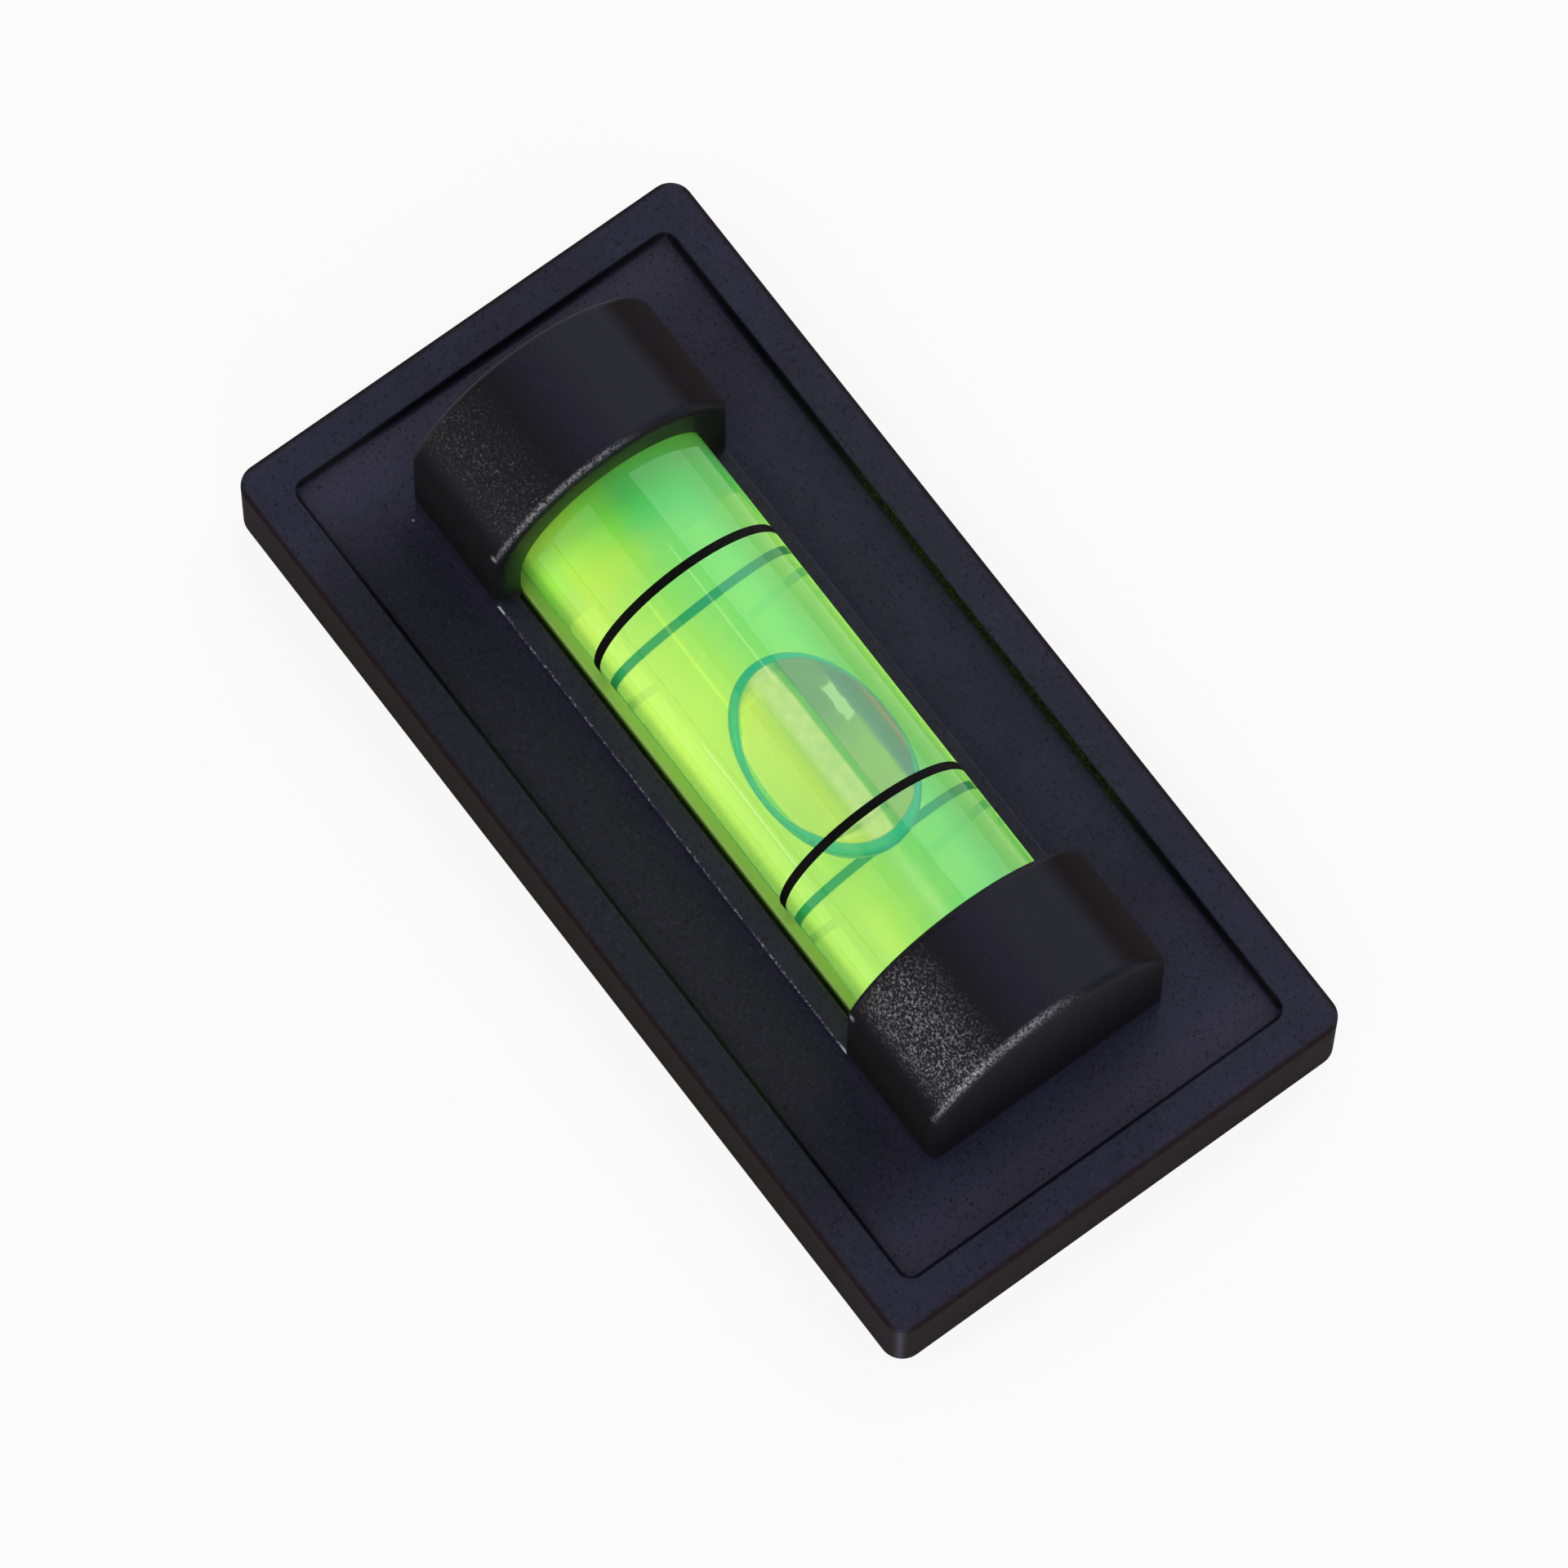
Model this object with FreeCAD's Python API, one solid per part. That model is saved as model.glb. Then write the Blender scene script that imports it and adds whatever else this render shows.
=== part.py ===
import FreeCAD, Part
import math
import os

V = FreeCAD.Vector

# Small magnetic spirit level. Millimetres, +Z up, the back of the plate lies on z = 0.
# X runs along the vial. The plate is centred on the origin in X and Y.

# Vial
vial_radius = 6.0
vial_length = 40.0
vial_end_chamfer = 0.3
vial_wall = 1.5
vial_closed_end = 2.1
bore_barrel = 0.18
bore_end_break = 0.4
bore_straight = 14.0
plug_length = 3.2
plug_step = 0.53
plug_chamfer = 0.25
ring_spacing = 16.57
ring_width = 0.5
ring_depth = 0.12
vial_end_x = vial_length / 2
bore_radius_mid = vial_radius - vial_wall
bore_radius_end = bore_radius_mid - bore_barrel
bore_x0 = vial_closed_end - vial_end_x
bore_x1 = vial_end_x - plug_length
bore_mid_x = 0.5 * (bore_x0 + bore_x1)
plug_radius = bore_radius_end + plug_step

# Bubble, lying off centre towards the +X end as the object is seen
bubble_offset = 3.95
bubble_length = 12.6
bubble_width = 7.1
bubble_depth = 3.35
bubble_foot = 1.0
bubble_x = bore_mid_x + bubble_offset

# Magnet sheet, and what lies over it
magnet_thickness = 2.0
magnet_gap = 0.1
magnet_wall = 1.8
magnet_corner_radius = 0.8
cradle_floor = 0.8
vial_axis_z = magnet_thickness + cradle_floor + vial_radius

# Slot and pocket that hold the vial inside the housing, open to the back
slot_gap = 0.3
pocket_gap = 0.18
pocket_side_gap = 0.22
vial_end_gap = 0.05
stop_rib_length = 1.7
stop_rib_width = 1.0
stop_rib_pitch = 3.6
stop_rib_top_drop = 1.4
crush_rib_width = 0.8
crush_rib_angles = (35.0, 90.0, 145.0)
crush_rib_setback = 0.8
slot_half_width = vial_radius + slot_gap
pocket_radius = vial_radius + pocket_gap
pocket_half_width = vial_radius + pocket_side_gap
pocket_end_x = vial_end_x + vial_end_gap + stop_rib_length

# Arched end caps
cap_end_wall = 1.6
cap_side_wall = 1.42
cap_crest_wall = 2.5
cap_length = 7.95
arch_wall = 2.2
cap_shoulder_radius = 1.4
cap_edge_radius = 0.55
arch_radius = vial_radius + arch_wall
cap_outer_x = pocket_end_x + cap_end_wall
cap_inner_x = cap_outer_x - cap_length
cap_half_width = slot_half_width + cap_side_wall
cap_crest_z = vial_axis_z + vial_radius + cap_crest_wall

# Rails beside the vial, the upper ends of the slot's walls
rail_width = 1.35
rail_top_radius = 0.15
rail_outer_y = slot_half_width + rail_width

# Plate, with a sunk panel inside its rim
rim_width = 2.22
end_land = 4.43
side_land = 5.03
plate_height = 5.35
plate_corner_radius = 1.3
plate_top_radius = 0.22
plate_back_chamfer = 0.2
panel_depth = 0.75
panel_wall_run = 0.35
panel_corner_radius = 0.55
rim_inner_radius = 0.12
plate_length = 2 * (cap_outer_x + end_land + rim_width)
plate_width = 2 * (rail_outer_y + side_land + rim_width)
panel_z = plate_height - panel_depth
magnet_pocket_length = plate_length - 2 * magnet_wall
magnet_pocket_width = plate_width - 2 * magnet_wall

# White saddle under the vial
cradle_gap = 0.05
cradle_step = 1.6
cradle_top_drop = 3.3
cradle_edge_radius = 0.15
cradle_step_z = magnet_thickness + cradle_step
cradle_top_z = vial_axis_z - cradle_top_drop

# Cored underside of the panel
skin = 1.3
core_ledge = 1.0
core_gap = 0.1
rib = 1.0
core_draft = math.radians(1.5)
side_core_count = 6
end_core_count = 3
core_top = panel_z - skin

# How far a cutting or trimming shape runs past what it cuts
overrun = 0.5


def box(x0, x1, y0, y1, z0, z1):
    return Part.makeBox(x1 - x0, y1 - y0, z1 - z0, V(x0, y0, z0))


def rounded_wire(x0, x1, y0, y1, z, r):
    """Closed rectangle with round corners in the plane z."""
    k = r * (1 - math.sqrt(0.5))
    p = [V(x0 + r, y0, z), V(x1 - r, y0, z), V(x1, y0 + r, z), V(x1, y1 - r, z),
         V(x1 - r, y1, z), V(x0 + r, y1, z), V(x0, y1 - r, z), V(x0, y0 + r, z)]
    m = [V(x1 - k, y0 + k, z), V(x1 - k, y1 - k, z), V(x0 + k, y1 - k, z), V(x0 + k, y0 + k, z)]
    edges = [Part.makeLine(p[0], p[1]), Part.Arc(p[1], m[0], p[2]).toShape(),
             Part.makeLine(p[2], p[3]), Part.Arc(p[3], m[1], p[4]).toShape(),
             Part.makeLine(p[4], p[5]), Part.Arc(p[5], m[2], p[6]).toShape(),
             Part.makeLine(p[6], p[7]), Part.Arc(p[7], m[3], p[0]).toShape()]
    return Part.Wire(edges)


def rectangle(x0, x1, y0, y1, z):
    return Part.makePolygon([V(x0, y0, z), V(x1, y0, z), V(x1, y1, z), V(x0, y1, z), V(x0, y0, z)])


def tapered_prism(x0, x1, y0, y1, z0, z1, run):
    """Rectangular prism whose four sides lean inwards by run from z0 to z1."""
    return Part.makeLoft([rectangle(x0, x1, y0, y1, z0),
                          rectangle(x0 + run, x1 - run, y0 + run, y1 - run, z1)], True, True)


def edges_where(shape, test):
    return [e for e in shape.Edges if test(e)]


def at_height(z):
    return lambda e: abs(e.BoundBox.ZMin - z) < 1e-4 and abs(e.BoundBox.ZMax - z) < 1e-4


def vial_prism(radius, half_width, x0, x1, z0):
    """Straight sides up to the vial's axis and a half round above it."""
    y, z = half_width, vial_axis_z
    low = box(x0, x1, -y, y, z0, z)
    top = Part.makeCylinder(radius, x1 - x0, V(x0, 0, z), V(1, 0, 0))
    top = top.common(box(x0, x1, -radius, radius, z, z + radius + 1))
    return low.fuse(top)


def plate():
    hx, hy = plate_length / 2, plate_width / 2
    wire = rounded_wire(-hx, hx, -hy, hy, 0, plate_corner_radius)
    body = Part.Face(wire).extrude(V(0, 0, plate_height))
    body = body.makeFillet(plate_top_radius, edges_where(body, at_height(plate_height)))
    body = body.makeChamfer(plate_back_chamfer, edges_where(body, at_height(0)))
    rx, ry = hx - rim_width, hy - rim_width
    # the sunk panel's wall leans outwards towards the top
    low = rounded_wire(-rx + panel_wall_run, rx - panel_wall_run, -ry + panel_wall_run,
                       ry - panel_wall_run, panel_z, panel_corner_radius)
    high = rounded_wire(-rx, rx, -ry, ry, plate_height, panel_corner_radius + panel_wall_run)
    body = body.cut(Part.makeLoft([low, high], True, True))
    inner = edges_where(body, lambda e: at_height(plate_height)(e) and abs(e.BoundBox.Center.x) < hx
                        and e.BoundBox.XMin > -rx - 0.01 and e.BoundBox.XMax < rx + 0.01
                        and e.BoundBox.YMin > -ry - 0.01 and e.BoundBox.YMax < ry + 0.01)
    return body.makeFillet(rim_inner_radius, inner)


def cap(side):
    """Arched cap: upright flanks and ends under a flat arch."""
    x0, x1, y = cap_inner_x, cap_outer_x, cap_half_width
    spring_z = cap_crest_z - arch_radius
    arch = Part.makeCylinder(arch_radius, cap_length, V(x0, 0, spring_z), V(1, 0, 0))
    arch = arch.common(box(x0, x1, -y, y, spring_z, cap_crest_z + overrun))
    body = box(x0, x1, -y, y, core_top, spring_z).fuse(arch).removeSplitter()

    def shoulder(e):
        b = e.BoundBox
        along = b.XLength > 0.5 * cap_length and b.YLength < cap_shoulder_radius
        return along and b.ZMin > spring_z and abs(b.Center.y) > 0.5 * cap_half_width
    body = body.makeFillet(cap_shoulder_radius, edges_where(body, shoulder))

    def sharp(e):
        b = e.BoundBox
        across = b.XLength < cap_edge_radius
        return across and (b.ZMin > spring_z or b.YLength < cap_edge_radius < b.ZLength)
    body = body.makeFillet(cap_edge_radius, edges_where(body, sharp))
    return body if side > 0 else body.mirror(V(0, 0, 0), V(1, 0, 0))


def rails():
    out = []
    for s in (-1, 1):
        y0, y1 = sorted((s * slot_half_width, s * rail_outer_y))
        x = cap_inner_x + overrun
        r = box(-x, x, y0, y1, core_top, plate_height)
        r = r.makeFillet(rail_top_radius, edges_where(r, lambda e: at_height(plate_height)(e)
                         and e.BoundBox.XLength > x))
        out.append(r)
    return out


def vial_pocket():
    """Space for the vial and its saddle: open between the rails, arched inside each cap."""
    z = magnet_thickness - overrun
    y = slot_half_width
    end = vial_end_x + cradle_gap
    slot = box(-cap_inner_x, cap_inner_x, -y, y, z, vial_axis_z + vial_radius + overrun)
    tray = box(-end, end, -y, y, z, plate_height)
    bore = vial_prism(pocket_radius, pocket_half_width, -pocket_end_x, pocket_end_x, z)
    return slot.fuse([tray, bore])


def vial_ribs():
    """Crush ribs that hold the vial in each cap and the stop ribs that meet its ends."""
    out = []
    reach = pocket_end_x + overrun
    vial = Part.makeCylinder(vial_radius, 2 * reach, V(-reach, 0, vial_axis_z), V(1, 0, 0))
    stop_x = vial_end_x + vial_end_gap
    half = crush_rib_width / 2
    for s in (-1, 1):
        x0, x1 = sorted((s * (cap_inner_x + crush_rib_setback), s * pocket_end_x))
        for a in crush_rib_angles:
            r = box(x0, x1, -half, half, vial_radius - overrun, pocket_radius + overrun)
            r.rotate(V(0, 0, 0), V(1, 0, 0), a - 90.0)
            r.translate(V(0, 0, vial_axis_z))
            out.append(r.cut(vial))
        x0, x1 = sorted((s * stop_x, s * (pocket_end_x + overrun)))
        for y in (-stop_rib_pitch, 0.0, stop_rib_pitch):
            out.append(box(x0, x1, y - stop_rib_width / 2, y + stop_rib_width / 2,
                           magnet_thickness, vial_axis_z + vial_radius - stop_rib_top_drop))
    return out


def cores():
    """Pockets that core out the underside of the panel and leave a grid of ribs."""
    out = []
    inner_x = magnet_pocket_length / 2 - core_ledge
    inner_y = magnet_pocket_width / 2 - core_ledge
    run = (core_top - magnet_thickness) * math.tan(core_draft)
    pitch = (2 * inner_x + rib) / side_core_count
    for s in (-1, 1):
        y0, y1 = sorted((s * (rail_outer_y + core_gap), s * inner_y))
        for i in range(side_core_count):
            x0 = -inner_x + i * pitch
            out.append(tapered_prism(x0, x0 + pitch - rib, y0, y1, magnet_thickness, core_top, run))
        x0, x1 = sorted((s * (cap_outer_x + core_gap), s * inner_x))
        width = 2 * rail_outer_y - 2 * rib
        step = (width + rib) / end_core_count
        for i in range(end_core_count):
            y = -width / 2 + i * step
            out.append(tapered_prism(x0, x1, y, y + step - rib, magnet_thickness, core_top, run))
    return out


def housing():
    body = plate()
    for extra in [cap(1), cap(-1)] + rails():
        body = body.fuse(extra)
    hx, hy = magnet_pocket_length / 2, magnet_pocket_width / 2
    sheet_pocket = Part.Face(rounded_wire(-hx, hx, -hy, hy, -overrun, magnet_corner_radius))
    body = body.cut(sheet_pocket.extrude(V(0, 0, magnet_thickness + overrun)))
    for c in cores():
        body = body.cut(c)
    return body.cut(vial_pocket()).fuse(vial_ribs()).removeSplitter()


def bore_solid():
    """Barrel bore: straight in the middle, tapered to both ends, with a broken edge at its closed end."""
    z = vial_axis_z
    e = bore_radius_end
    points = [V(bore_x0, 0, z), V(bore_x0, 0, z + e - bore_end_break), V(bore_x0 + bore_end_break, 0, z + e),
              V(bore_mid_x - bore_straight / 2, 0, z + bore_radius_mid),
              V(bore_mid_x + bore_straight / 2, 0, z + bore_radius_mid),
              V(bore_x1, 0, z + e), V(bore_x1, 0, z), V(bore_x0, 0, z)]
    return Part.Face(Part.makePolygon(points)).revolve(V(0, 0, z), V(1, 0, 0), 360)


def ring(x):
    a = Part.makeCylinder(vial_radius, ring_width, V(x - ring_width / 2, 0, vial_axis_z), V(1, 0, 0))
    b = Part.makeCylinder(vial_radius - ring_depth, ring_width, V(x - ring_width / 2, 0, vial_axis_z), V(1, 0, 0))
    return a.cut(b)


def plug():
    p = Part.makeCylinder(plug_radius, plug_length, V(bore_x1, 0, vial_axis_z), V(1, 0, 0))
    outer = edges_where(p, lambda e: e.BoundBox.XMin > bore_x1 + plug_length / 2)
    return p.makeChamfer(plug_chamfer, outer)


def vial_body(rings):
    body = Part.makeCylinder(vial_radius, vial_length, V(-vial_end_x, 0, vial_axis_z), V(1, 0, 0))
    rims = edges_where(body, lambda e: e.BoundBox.XLength < vial_end_chamfer)
    body = body.makeChamfer(vial_end_chamfer, rims)
    seat = Part.makeCylinder(plug_radius, plug_length + overrun, V(bore_x1, 0, vial_axis_z), V(1, 0, 0))
    body = body.cut(bore_solid()).cut(seat)
    for r in rings:
        body = body.cut(r)
    return body


def bubble():
    """Flat-floored bubble with a sloped foot, taller than the bore so it meets the bore's roof."""
    z = vial_axis_z + bore_radius_mid - bubble_depth
    e = bubble_foot

    def outline(height, inset):
        return Part.Wire([Part.Ellipse(V(bubble_x, 0, height), bubble_length / 2 - inset,
                                       bubble_width / 2 - inset).toShape()])
    foot = Part.makeLoft([outline(z, e), outline(z + e, 0.0)], True, True)
    return foot.fuse(Part.Face(outline(z + e, 0.0)).extrude(V(0, 0, bubble_depth + overrun - e)))


def vial_liquid():
    return bore_solid().cut(bubble())


def vial_cradle():
    """White saddle: a stepped block, wider at its foot, hollowed to the vial's radius."""
    x = vial_end_x
    foot = slot_half_width - cradle_gap
    block = box(-x, x, -foot, foot, magnet_thickness, cradle_step_z)
    upper = box(-x, x, -vial_radius, vial_radius, cradle_step_z - overrun, cradle_top_z)
    upper = upper.makeFillet(cradle_edge_radius, edges_where(
        upper, lambda e: at_height(cradle_top_z)(e) and e.BoundBox.XLength > x))
    vial = Part.makeCylinder(vial_radius, 2 * x + 2 * overrun, V(-x - overrun, 0, vial_axis_z), V(1, 0, 0))
    return block.fuse(upper).removeSplitter().cut(vial)


def magnet_sheet():
    hx = magnet_pocket_length / 2 - magnet_gap
    hy = magnet_pocket_width / 2 - magnet_gap
    wire = rounded_wire(-hx, hx, -hy, hy, 0, magnet_corner_radius - magnet_gap)
    return Part.Face(wire).extrude(V(0, 0, magnet_thickness))


def main():
    os.makedirs("parts", exist_ok=True)
    left = ring(bore_mid_x - ring_spacing / 2)
    right = ring(bore_mid_x + ring_spacing / 2)
    pieces = {
        "housing": housing(),
        "vial_body": vial_body([left, right]),
        "vial_plug": plug(),
        "vial_liquid": vial_liquid(),
        "vial_ring_left": left,
        "vial_ring_right": right,
        "vial_cradle": vial_cradle(),
        "magnet_sheet": magnet_sheet(),
    }
    for name, shape in pieces.items():
        b = shape.BoundBox
        print("%-16s solids %d valid %s volume %.2f  z %.2f..%.2f" % (
            name, len(shape.Solids), shape.isValid(), shape.Volume, b.ZMin, b.ZMax))
        shape.exportStep("parts/%s.step" % name)


main()
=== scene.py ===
import math

import bmesh
import bpy
from mathutils import Matrix, Vector


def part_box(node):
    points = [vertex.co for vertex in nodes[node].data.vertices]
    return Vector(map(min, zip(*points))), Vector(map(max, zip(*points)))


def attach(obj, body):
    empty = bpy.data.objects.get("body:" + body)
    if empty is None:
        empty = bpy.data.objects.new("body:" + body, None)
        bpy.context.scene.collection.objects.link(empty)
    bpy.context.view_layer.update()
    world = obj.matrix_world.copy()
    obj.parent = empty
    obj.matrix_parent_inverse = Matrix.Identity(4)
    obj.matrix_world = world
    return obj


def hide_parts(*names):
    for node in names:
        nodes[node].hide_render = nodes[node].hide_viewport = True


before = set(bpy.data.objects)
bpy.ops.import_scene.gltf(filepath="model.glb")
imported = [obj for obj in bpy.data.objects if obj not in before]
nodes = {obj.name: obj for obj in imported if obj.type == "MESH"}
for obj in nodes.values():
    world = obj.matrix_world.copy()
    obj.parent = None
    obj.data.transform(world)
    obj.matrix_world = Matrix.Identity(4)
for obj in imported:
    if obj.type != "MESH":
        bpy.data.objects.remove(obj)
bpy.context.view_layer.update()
mm = 0.001


# Shader helpers

class Wire:
    # a socket of a material's tree; sums and products of wires add Math nodes

    def __init__(self, tree, socket=None):
        self.tree = tree
        self.socket = socket

    def node(self, kind, settings=None, inputs=None, output=0):
        made = self.tree.nodes.new(kind)
        for name, value in (settings or {}).items():
            setattr(made, name, value)
        for name, value in (inputs or {}).items():
            if isinstance(value, Wire):
                self.tree.links.new(value.socket, made.inputs[name])
            else:
                made.inputs[name].default_value = value
        return Wire(self.tree, made.outputs[output] if made.outputs else None)

    def maths(self, operation, *values):
        return self.node("ShaderNodeMath", {"operation": operation}, dict(enumerate(values)))

    def __add__(self, other):
        return self.maths("ADD", self, other)

    def __radd__(self, other):
        return self.maths("ADD", other, self)

    def __sub__(self, other):
        return self.maths("SUBTRACT", self, other)

    def __rsub__(self, other):
        return self.maths("SUBTRACT", other, self)

    def __mul__(self, other):
        return self.maths("MULTIPLY", self, other)

    def __rmul__(self, other):
        return self.maths("MULTIPLY", other, self)

    def __truediv__(self, other):
        return self.maths("DIVIDE", self, other)

    def __abs__(self):
        return self.maths("ABSOLUTE", self)

    def larger(self, other):
        return self.maths("MAXIMUM", self, other)

    def smaller(self, other):
        return self.maths("MINIMUM", self, other)

    def ease(self, low, high):
        # 0 below low, 1 above high, smooth between; low may be the larger
        return self.node("ShaderNodeMapRange", {"interpolation_type": "SMOOTHSTEP"},
                         {"Value": self, "From Min": low, "From Max": high})

    def near(self, place, width):
        # 1 at place, falling to 0 at width from it
        return 1 - abs(self - place).ease(0.0, width)


def rgb(red, green, blue):
    return (red, green, blue, 1.0)


white = rgb(1, 1, 1)
black = rgb(0, 0, 0)


def newMaterial(name):
    material = bpy.data.materials.new(name)
    material.use_nodes = True
    material.node_tree.nodes.clear()
    return material, Wire(material.node_tree)


def mixColour(share, first, second):
    # numbered because the Mix node names its colour and number sockets alike
    return share.node("ShaderNodeMix", {"data_type": "RGBA"}, {0: share, 6: first, 7: second}, 2)


def mixShaders(share, first, second):
    return share.node("ShaderNodeMixShader", None, {0: share, 1: first, 2: second})


def splitVector(vector):
    return [vector.node("ShaderNodeSeparateXYZ", None, {"Vector": vector}, axis) for axis in "XYZ"]


def places(start):
    # the piece's own coordinates in millimetres: the vector, then x, y and z
    own = start.node("ShaderNodeTexCoord", output="Object")
    inMm = start.node("ShaderNodeVectorMath", {"operation": "SCALE"}, {0: own, "Scale": 1 / mm})
    return [inMm] + splitVector(inMm)


def facing(start):
    return splitVector(start.node("ShaderNodeNewGeometry", output="Normal"))


def noise(vector, scale, detail, roughness=0.5):
    return vector.node("ShaderNodeTexNoise", None,
                       {"Vector": vector, "Scale": scale, "Detail": detail, "Roughness": roughness})


def bump(height):
    # height in millimetres
    return height.node("ShaderNodeBump", None, {"Strength": 1.0, "Distance": mm, "Height": height})


def principled(start, inputs):
    return start.node("ShaderNodeBsdfPrincipled", None, inputs)


def transparent(start):
    return start.node("ShaderNodeBsdfTransparent", None, {"Color": white})


def surface(start, shader, volume=None):
    inputs = {"Surface": shader}
    if volume:
        inputs["Volume"] = volume
    start.node("ShaderNodeOutputMaterial", None, inputs)


def openToLamps(shader):
    # lamps shine through clear pieces, so that what lies inside is lit
    shadowRay = shader.node("ShaderNodeLightPath", output="Is Shadow Ray")
    return mixShaders(shadowRay, shader, transparent(shader))


# Housing

# colours and finish first, then the zones that take them; a pair says where a zone starts and
# where it is full, or its middle and its reach
housingLook = {
    "plastic": rgb(0.0154, 0.0143, 0.0322),
    "patchy": rgb(0.0182, 0.0168, 0.0376),
    # painted shade on the panel beside the vial's -Y side
    "besideVial": rgb(0.0112, 0.0106, 0.0212),
    # painted light at the panel's ends
    "panelEnds": rgb(0.0265, 0.0240, 0.0460),
    "pits": rgb(0.0040, 0.0038, 0.0070),
    "flecks": rgb(0.0300, 0.0280, 0.0460),
    # painted deep shade on the sunk panel's wall
    "recess": rgb(0.0032, 0.0030, 0.0042),
    "oliveSpecks": rgb(0.0300, 0.0300, 0.0030),
    # painted light and shade on the caps, by which way each surface faces
    "crest": rgb(0.0094, 0.0087, 0.0188),
    "nearSlope": rgb(0.0043, 0.0041, 0.0074),
    "farSlope": rgb(0.0036, 0.0032, 0.0120),
    "farShoulder": rgb(0.0036, 0.0012, 0.0010),
    "flank": rgb(0.0016, 0.0015, 0.0022),
    "endFace": rgb(0.0034, 0.0031, 0.0052),
    # painted brown reflection on the outer walls
    "outerWall": rgb(0.0092, 0.0026, 0.0018),
    # painted green light from the vial on the cap's mouth and the slot's wall
    "mouthGlow": rgb(0.016, 0.040, 0.008),
    "slotGlow": rgb(0.10, 0.22, 0.035),
    # painted glints and highlights
    "glint": rgb(0.34, 0.34, 0.35),
    "dust": rgb(0.30, 0.30, 0.33),

    "roughness": 0.52,
    "grainRoughness": 0.12,
    "dullRoughness": 0.38,      # added on walls and slopes in shade
    "wornRoughness": 0.36,
    "specular": 0.18,
    "coat": 0.8,                # on the worn shoulders
    "coatRoughness": 0.3,

    # noise as cells per millimetre, detail and roughness
    "grain": (5.5, 2.0, 0.6),
    "capGrain": (6.5, 3.0, 0.65),
    "clouds": (0.35, 3.0),
    "blotches": (0.8, 2.0),
    "dustCells": 0.45,
    "grainHeight": 0.006,       # millimetres
    "capGrainHeight": 0.06,
    "capGrainShare": 0.5,       # of that height, and as much again where worn

    # zones in millimetres
    "capFoot": (5.5, 6.5),
    "capUpper": (8.0, 10.5),
    "besideVialSide": (-7.0, -9.0),
    "besideVialEnd": (26.0, 20.0),
    "panelEndsStart": (23.0, 27.0),
    "panelTop": (5.0, 4.8),
    "recessLength": (27.45, 27.60),
    "recessWidth": (12.32, 12.48),
    "rimLength": (28.4, 28.0),
    "rimWidth": (13.3, 12.9),
    "recessTop": (5.35, 5.22),
    "oliveSpecksSide": (12.0, 12.4),
    "oliveSpecksLength": (1.5, 17.0),
    "wallLength": (29.6, 29.9),
    "wallWidth": (14.5, 14.8),
    "mouth": (-15.4, 0.3),
    "mouthAxis": 8.8,
    "mouthReach": (62.0, 36.0),     # square of the distance from the axis
    "mouthHeight": (5.0, 8.0),
    "mouthSide": (3.0, 0.0),
    "slotSide": (6.3, 0.12),
    "slotTop": (5.35, 5.2),
    "slotLength": (15.6, 15.3),
    "wornGlintCap": (15.0, 17.0),
    "mouthEdge": (-15.7, 0.24),
    "farEdge": (23.0, 0.35),
    "railSide": (-7.62, 0.14),
    "railTop": (5.15, 5.3),
    "railLength": (16.2, 15.8),
    "railFoot": (14.9, 15.3),

    # zones by the slope of the surface: how much of its normal points along an axis
    "nearSlopeTilt": (-0.05, -0.38),
    "farSlopeTilt": (0.12, 0.50),
    "farShoulderTilt": (0.56, 0.72),
    "flankTilt": (-0.80, -0.95),
    "endFaceTilt": (0.5, 0.9),
    "dullTilt": (0.50, 0.72),
    "wornGlintTilt": (-0.30, -0.68),
    "sparseTilt": (-0.30, -0.60),
    "shoulderRise": (0.42, 0.66),
    "edgeTilt": (0.25, -0.15),
    "edgeRise": (0.3, 0.5),
    "railRise": (0.2, 0.5),

    # zones by the noise's value, and the most that each mark covers
    "cloudEdge": (0.4, 0.7),
    "blotchEdge": (0.35, 0.55),
    "shoulderCover": (0.8, 0.2),    # plain, and more in blotches
    "wallCover": (0.8, 0.1),
    "pitEdge": (0.44, 0.30),
    "pitCover": 0.8,
    "fleckEdge": (0.58, 0.72),
    "fleckCover": 0.5,
    "fleckLossOnCaps": 0.8,
    "oliveSpecksEnds": (0.1, 0.3),
    "oliveSpecksEdge": (0.50, 0.58),
    "wornGlintLeft": 0.15,               # share of the wear and painted glints on the -X cap
    "wornPitEdge": (0.50, 0.40),
    "coatEdge": (0.42, 0.62),
    "wornGlintEdge": (0.48, 0.66),
    "wornGlintCover": 0.38,
    "sparseGlintEdge": (0.62, 0.70),
    "sparseGlintCover": 0.22,
    "edgeGlintEdge": (0.36, 0.62),
    "edgeGlintCover": 0.45,
    "railGlintEdge": (0.50, 0.64),
    "railGlintCover": 0.6,
    "railFootCover": 0.9,
    "dustSize": (0.02, 0.045),
    "dustChance": (0.80, 0.82),
    "dustCover": 0.5,
}


class Spot:
    # a point of the housing: its place in millimetres, its normal and its grain

    def __init__(self, start):
        look = housingLook
        self.place, self.x, self.y, self.z = places(start)
        self.nx, self.ny, self.nz = facing(start)
        self.fine = noise(self.place, *look["grain"])
        self.coarse = noise(self.place, *look["capGrain"])
        self.blotch = noise(self.place, *look["blotches"]).ease(*look["blotchEdge"])
        self.cap = self.z.ease(*look["capFoot"])
        self.onCap = self.z.ease(*look["capUpper"])
        self.flank = self.ny.ease(*look["flankTilt"]) * self.cap
        self.outerWall = (abs(self.x).ease(*look["wallLength"])
                          .larger(abs(self.y).ease(*look["wallWidth"])))
        wearAndGlintSlope = self.onCap * self.ny.ease(*look["wornGlintTilt"]) * self.nz.ease(*look["shoulderRise"])
        right = self.x.ease(*look["wornGlintCap"]) * (1 - look["wornGlintLeft"])
        self.wornAndGlinting = wearAndGlintSlope * (look["wornGlintLeft"] + right)


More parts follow.
